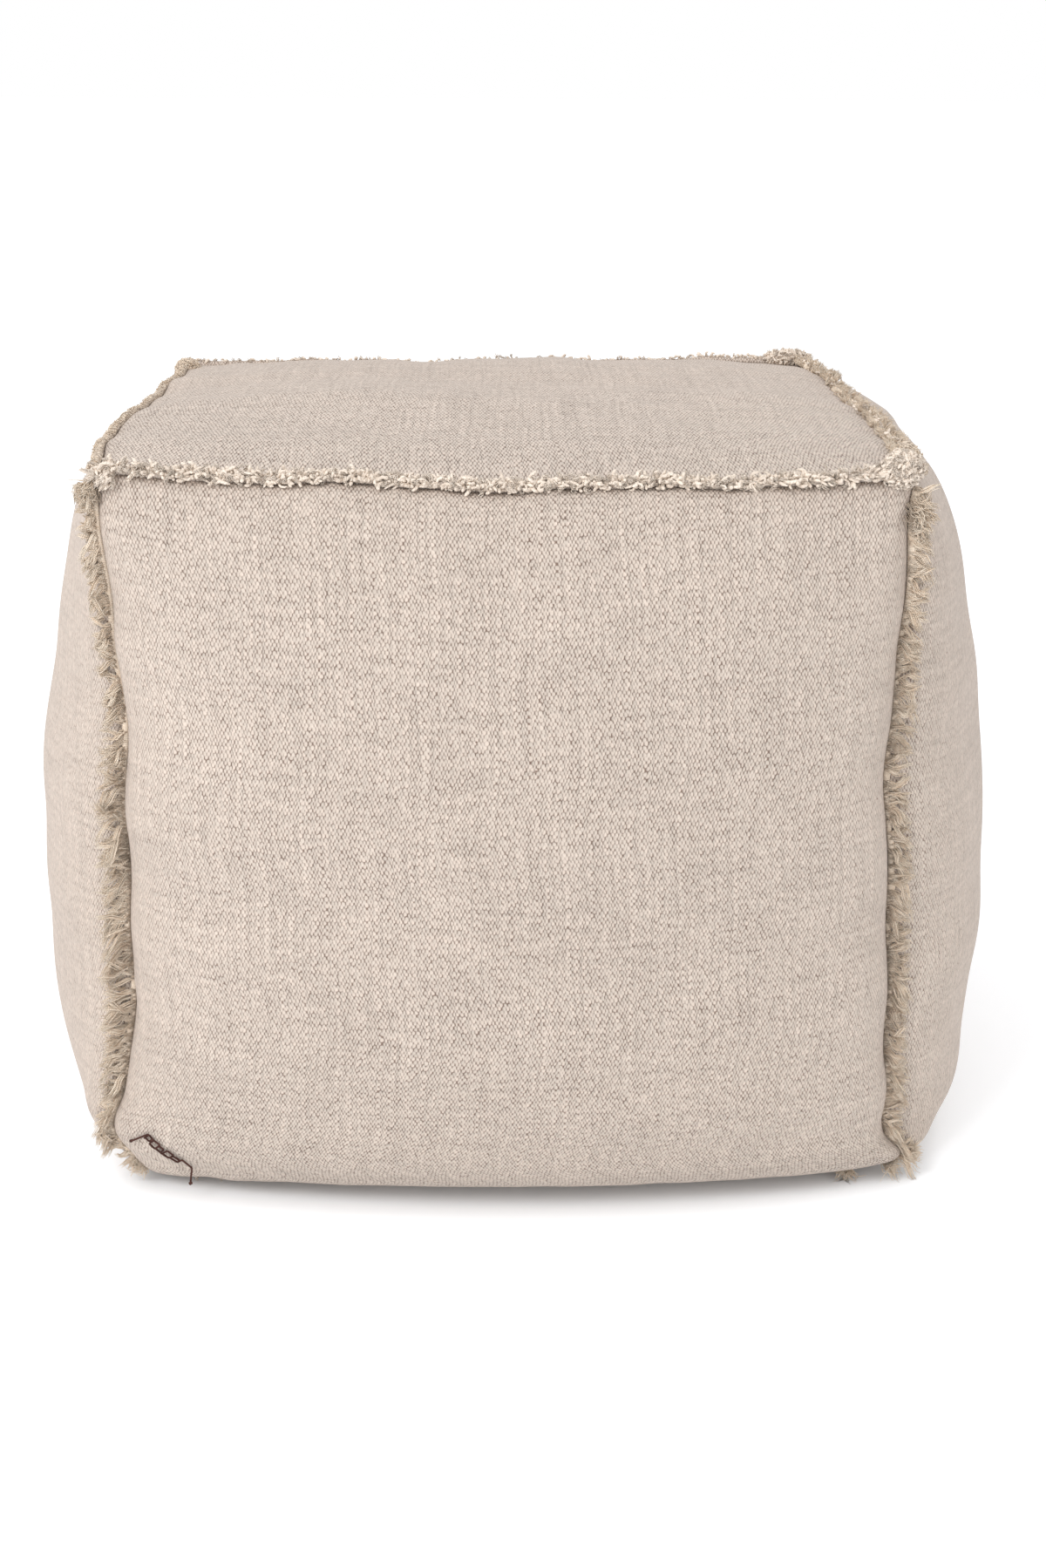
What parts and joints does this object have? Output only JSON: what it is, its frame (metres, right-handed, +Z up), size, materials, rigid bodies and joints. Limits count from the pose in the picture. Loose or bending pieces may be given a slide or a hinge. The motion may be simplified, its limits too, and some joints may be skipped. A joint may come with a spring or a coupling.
{
  "type": "cube pouf stool",
  "caption": "Stuffed cloth cube for sitting on or resting feet, with crowned panels and frayed raw-edge seams.",
  "frame": {"origin": "middle of the base on the floor, below the centre of the whole stool's box", "axes": "+Z up, the front panel with the hand stitch faces -Y, +X to the right as seen from the front"},
  "size_m": [0.6175, 0.6128, 0.4532],
  "materials": {
    "cloth_cream": "undyed cream cotton, coarse basket weave with slubs, matt",
    "yarn_cream": "frayed cream cotton yarn ends, curled and matt",
    "yarn_tan": "frayed sand-coloured cotton yarn, combed sideways, matt",
    "thread_brown": "dark brown waxed thread"
  },
  "bodies": {
    "root": {"pouf_body": "cloth_cream", "fringe_top_front": "yarn_cream", "fringe_top_back": "yarn_cream", "fringe_top_left": "yarn_cream", "fringe_top_right": "yarn_cream", "fringe_side_front_left": "yarn_tan", "fringe_side_front_right": "yarn_tan", "fringe_side_back_left": "yarn_tan", "fringe_side_back_right": "yarn_tan", "fringe_base_front": "yarn_cream", "fringe_base_back": "yarn_cream", "fringe_base_left": "yarn_cream", "fringe_base_right": "yarn_cream", "hand_stitch": "thread_brown"}
  },
  "joints": []
}
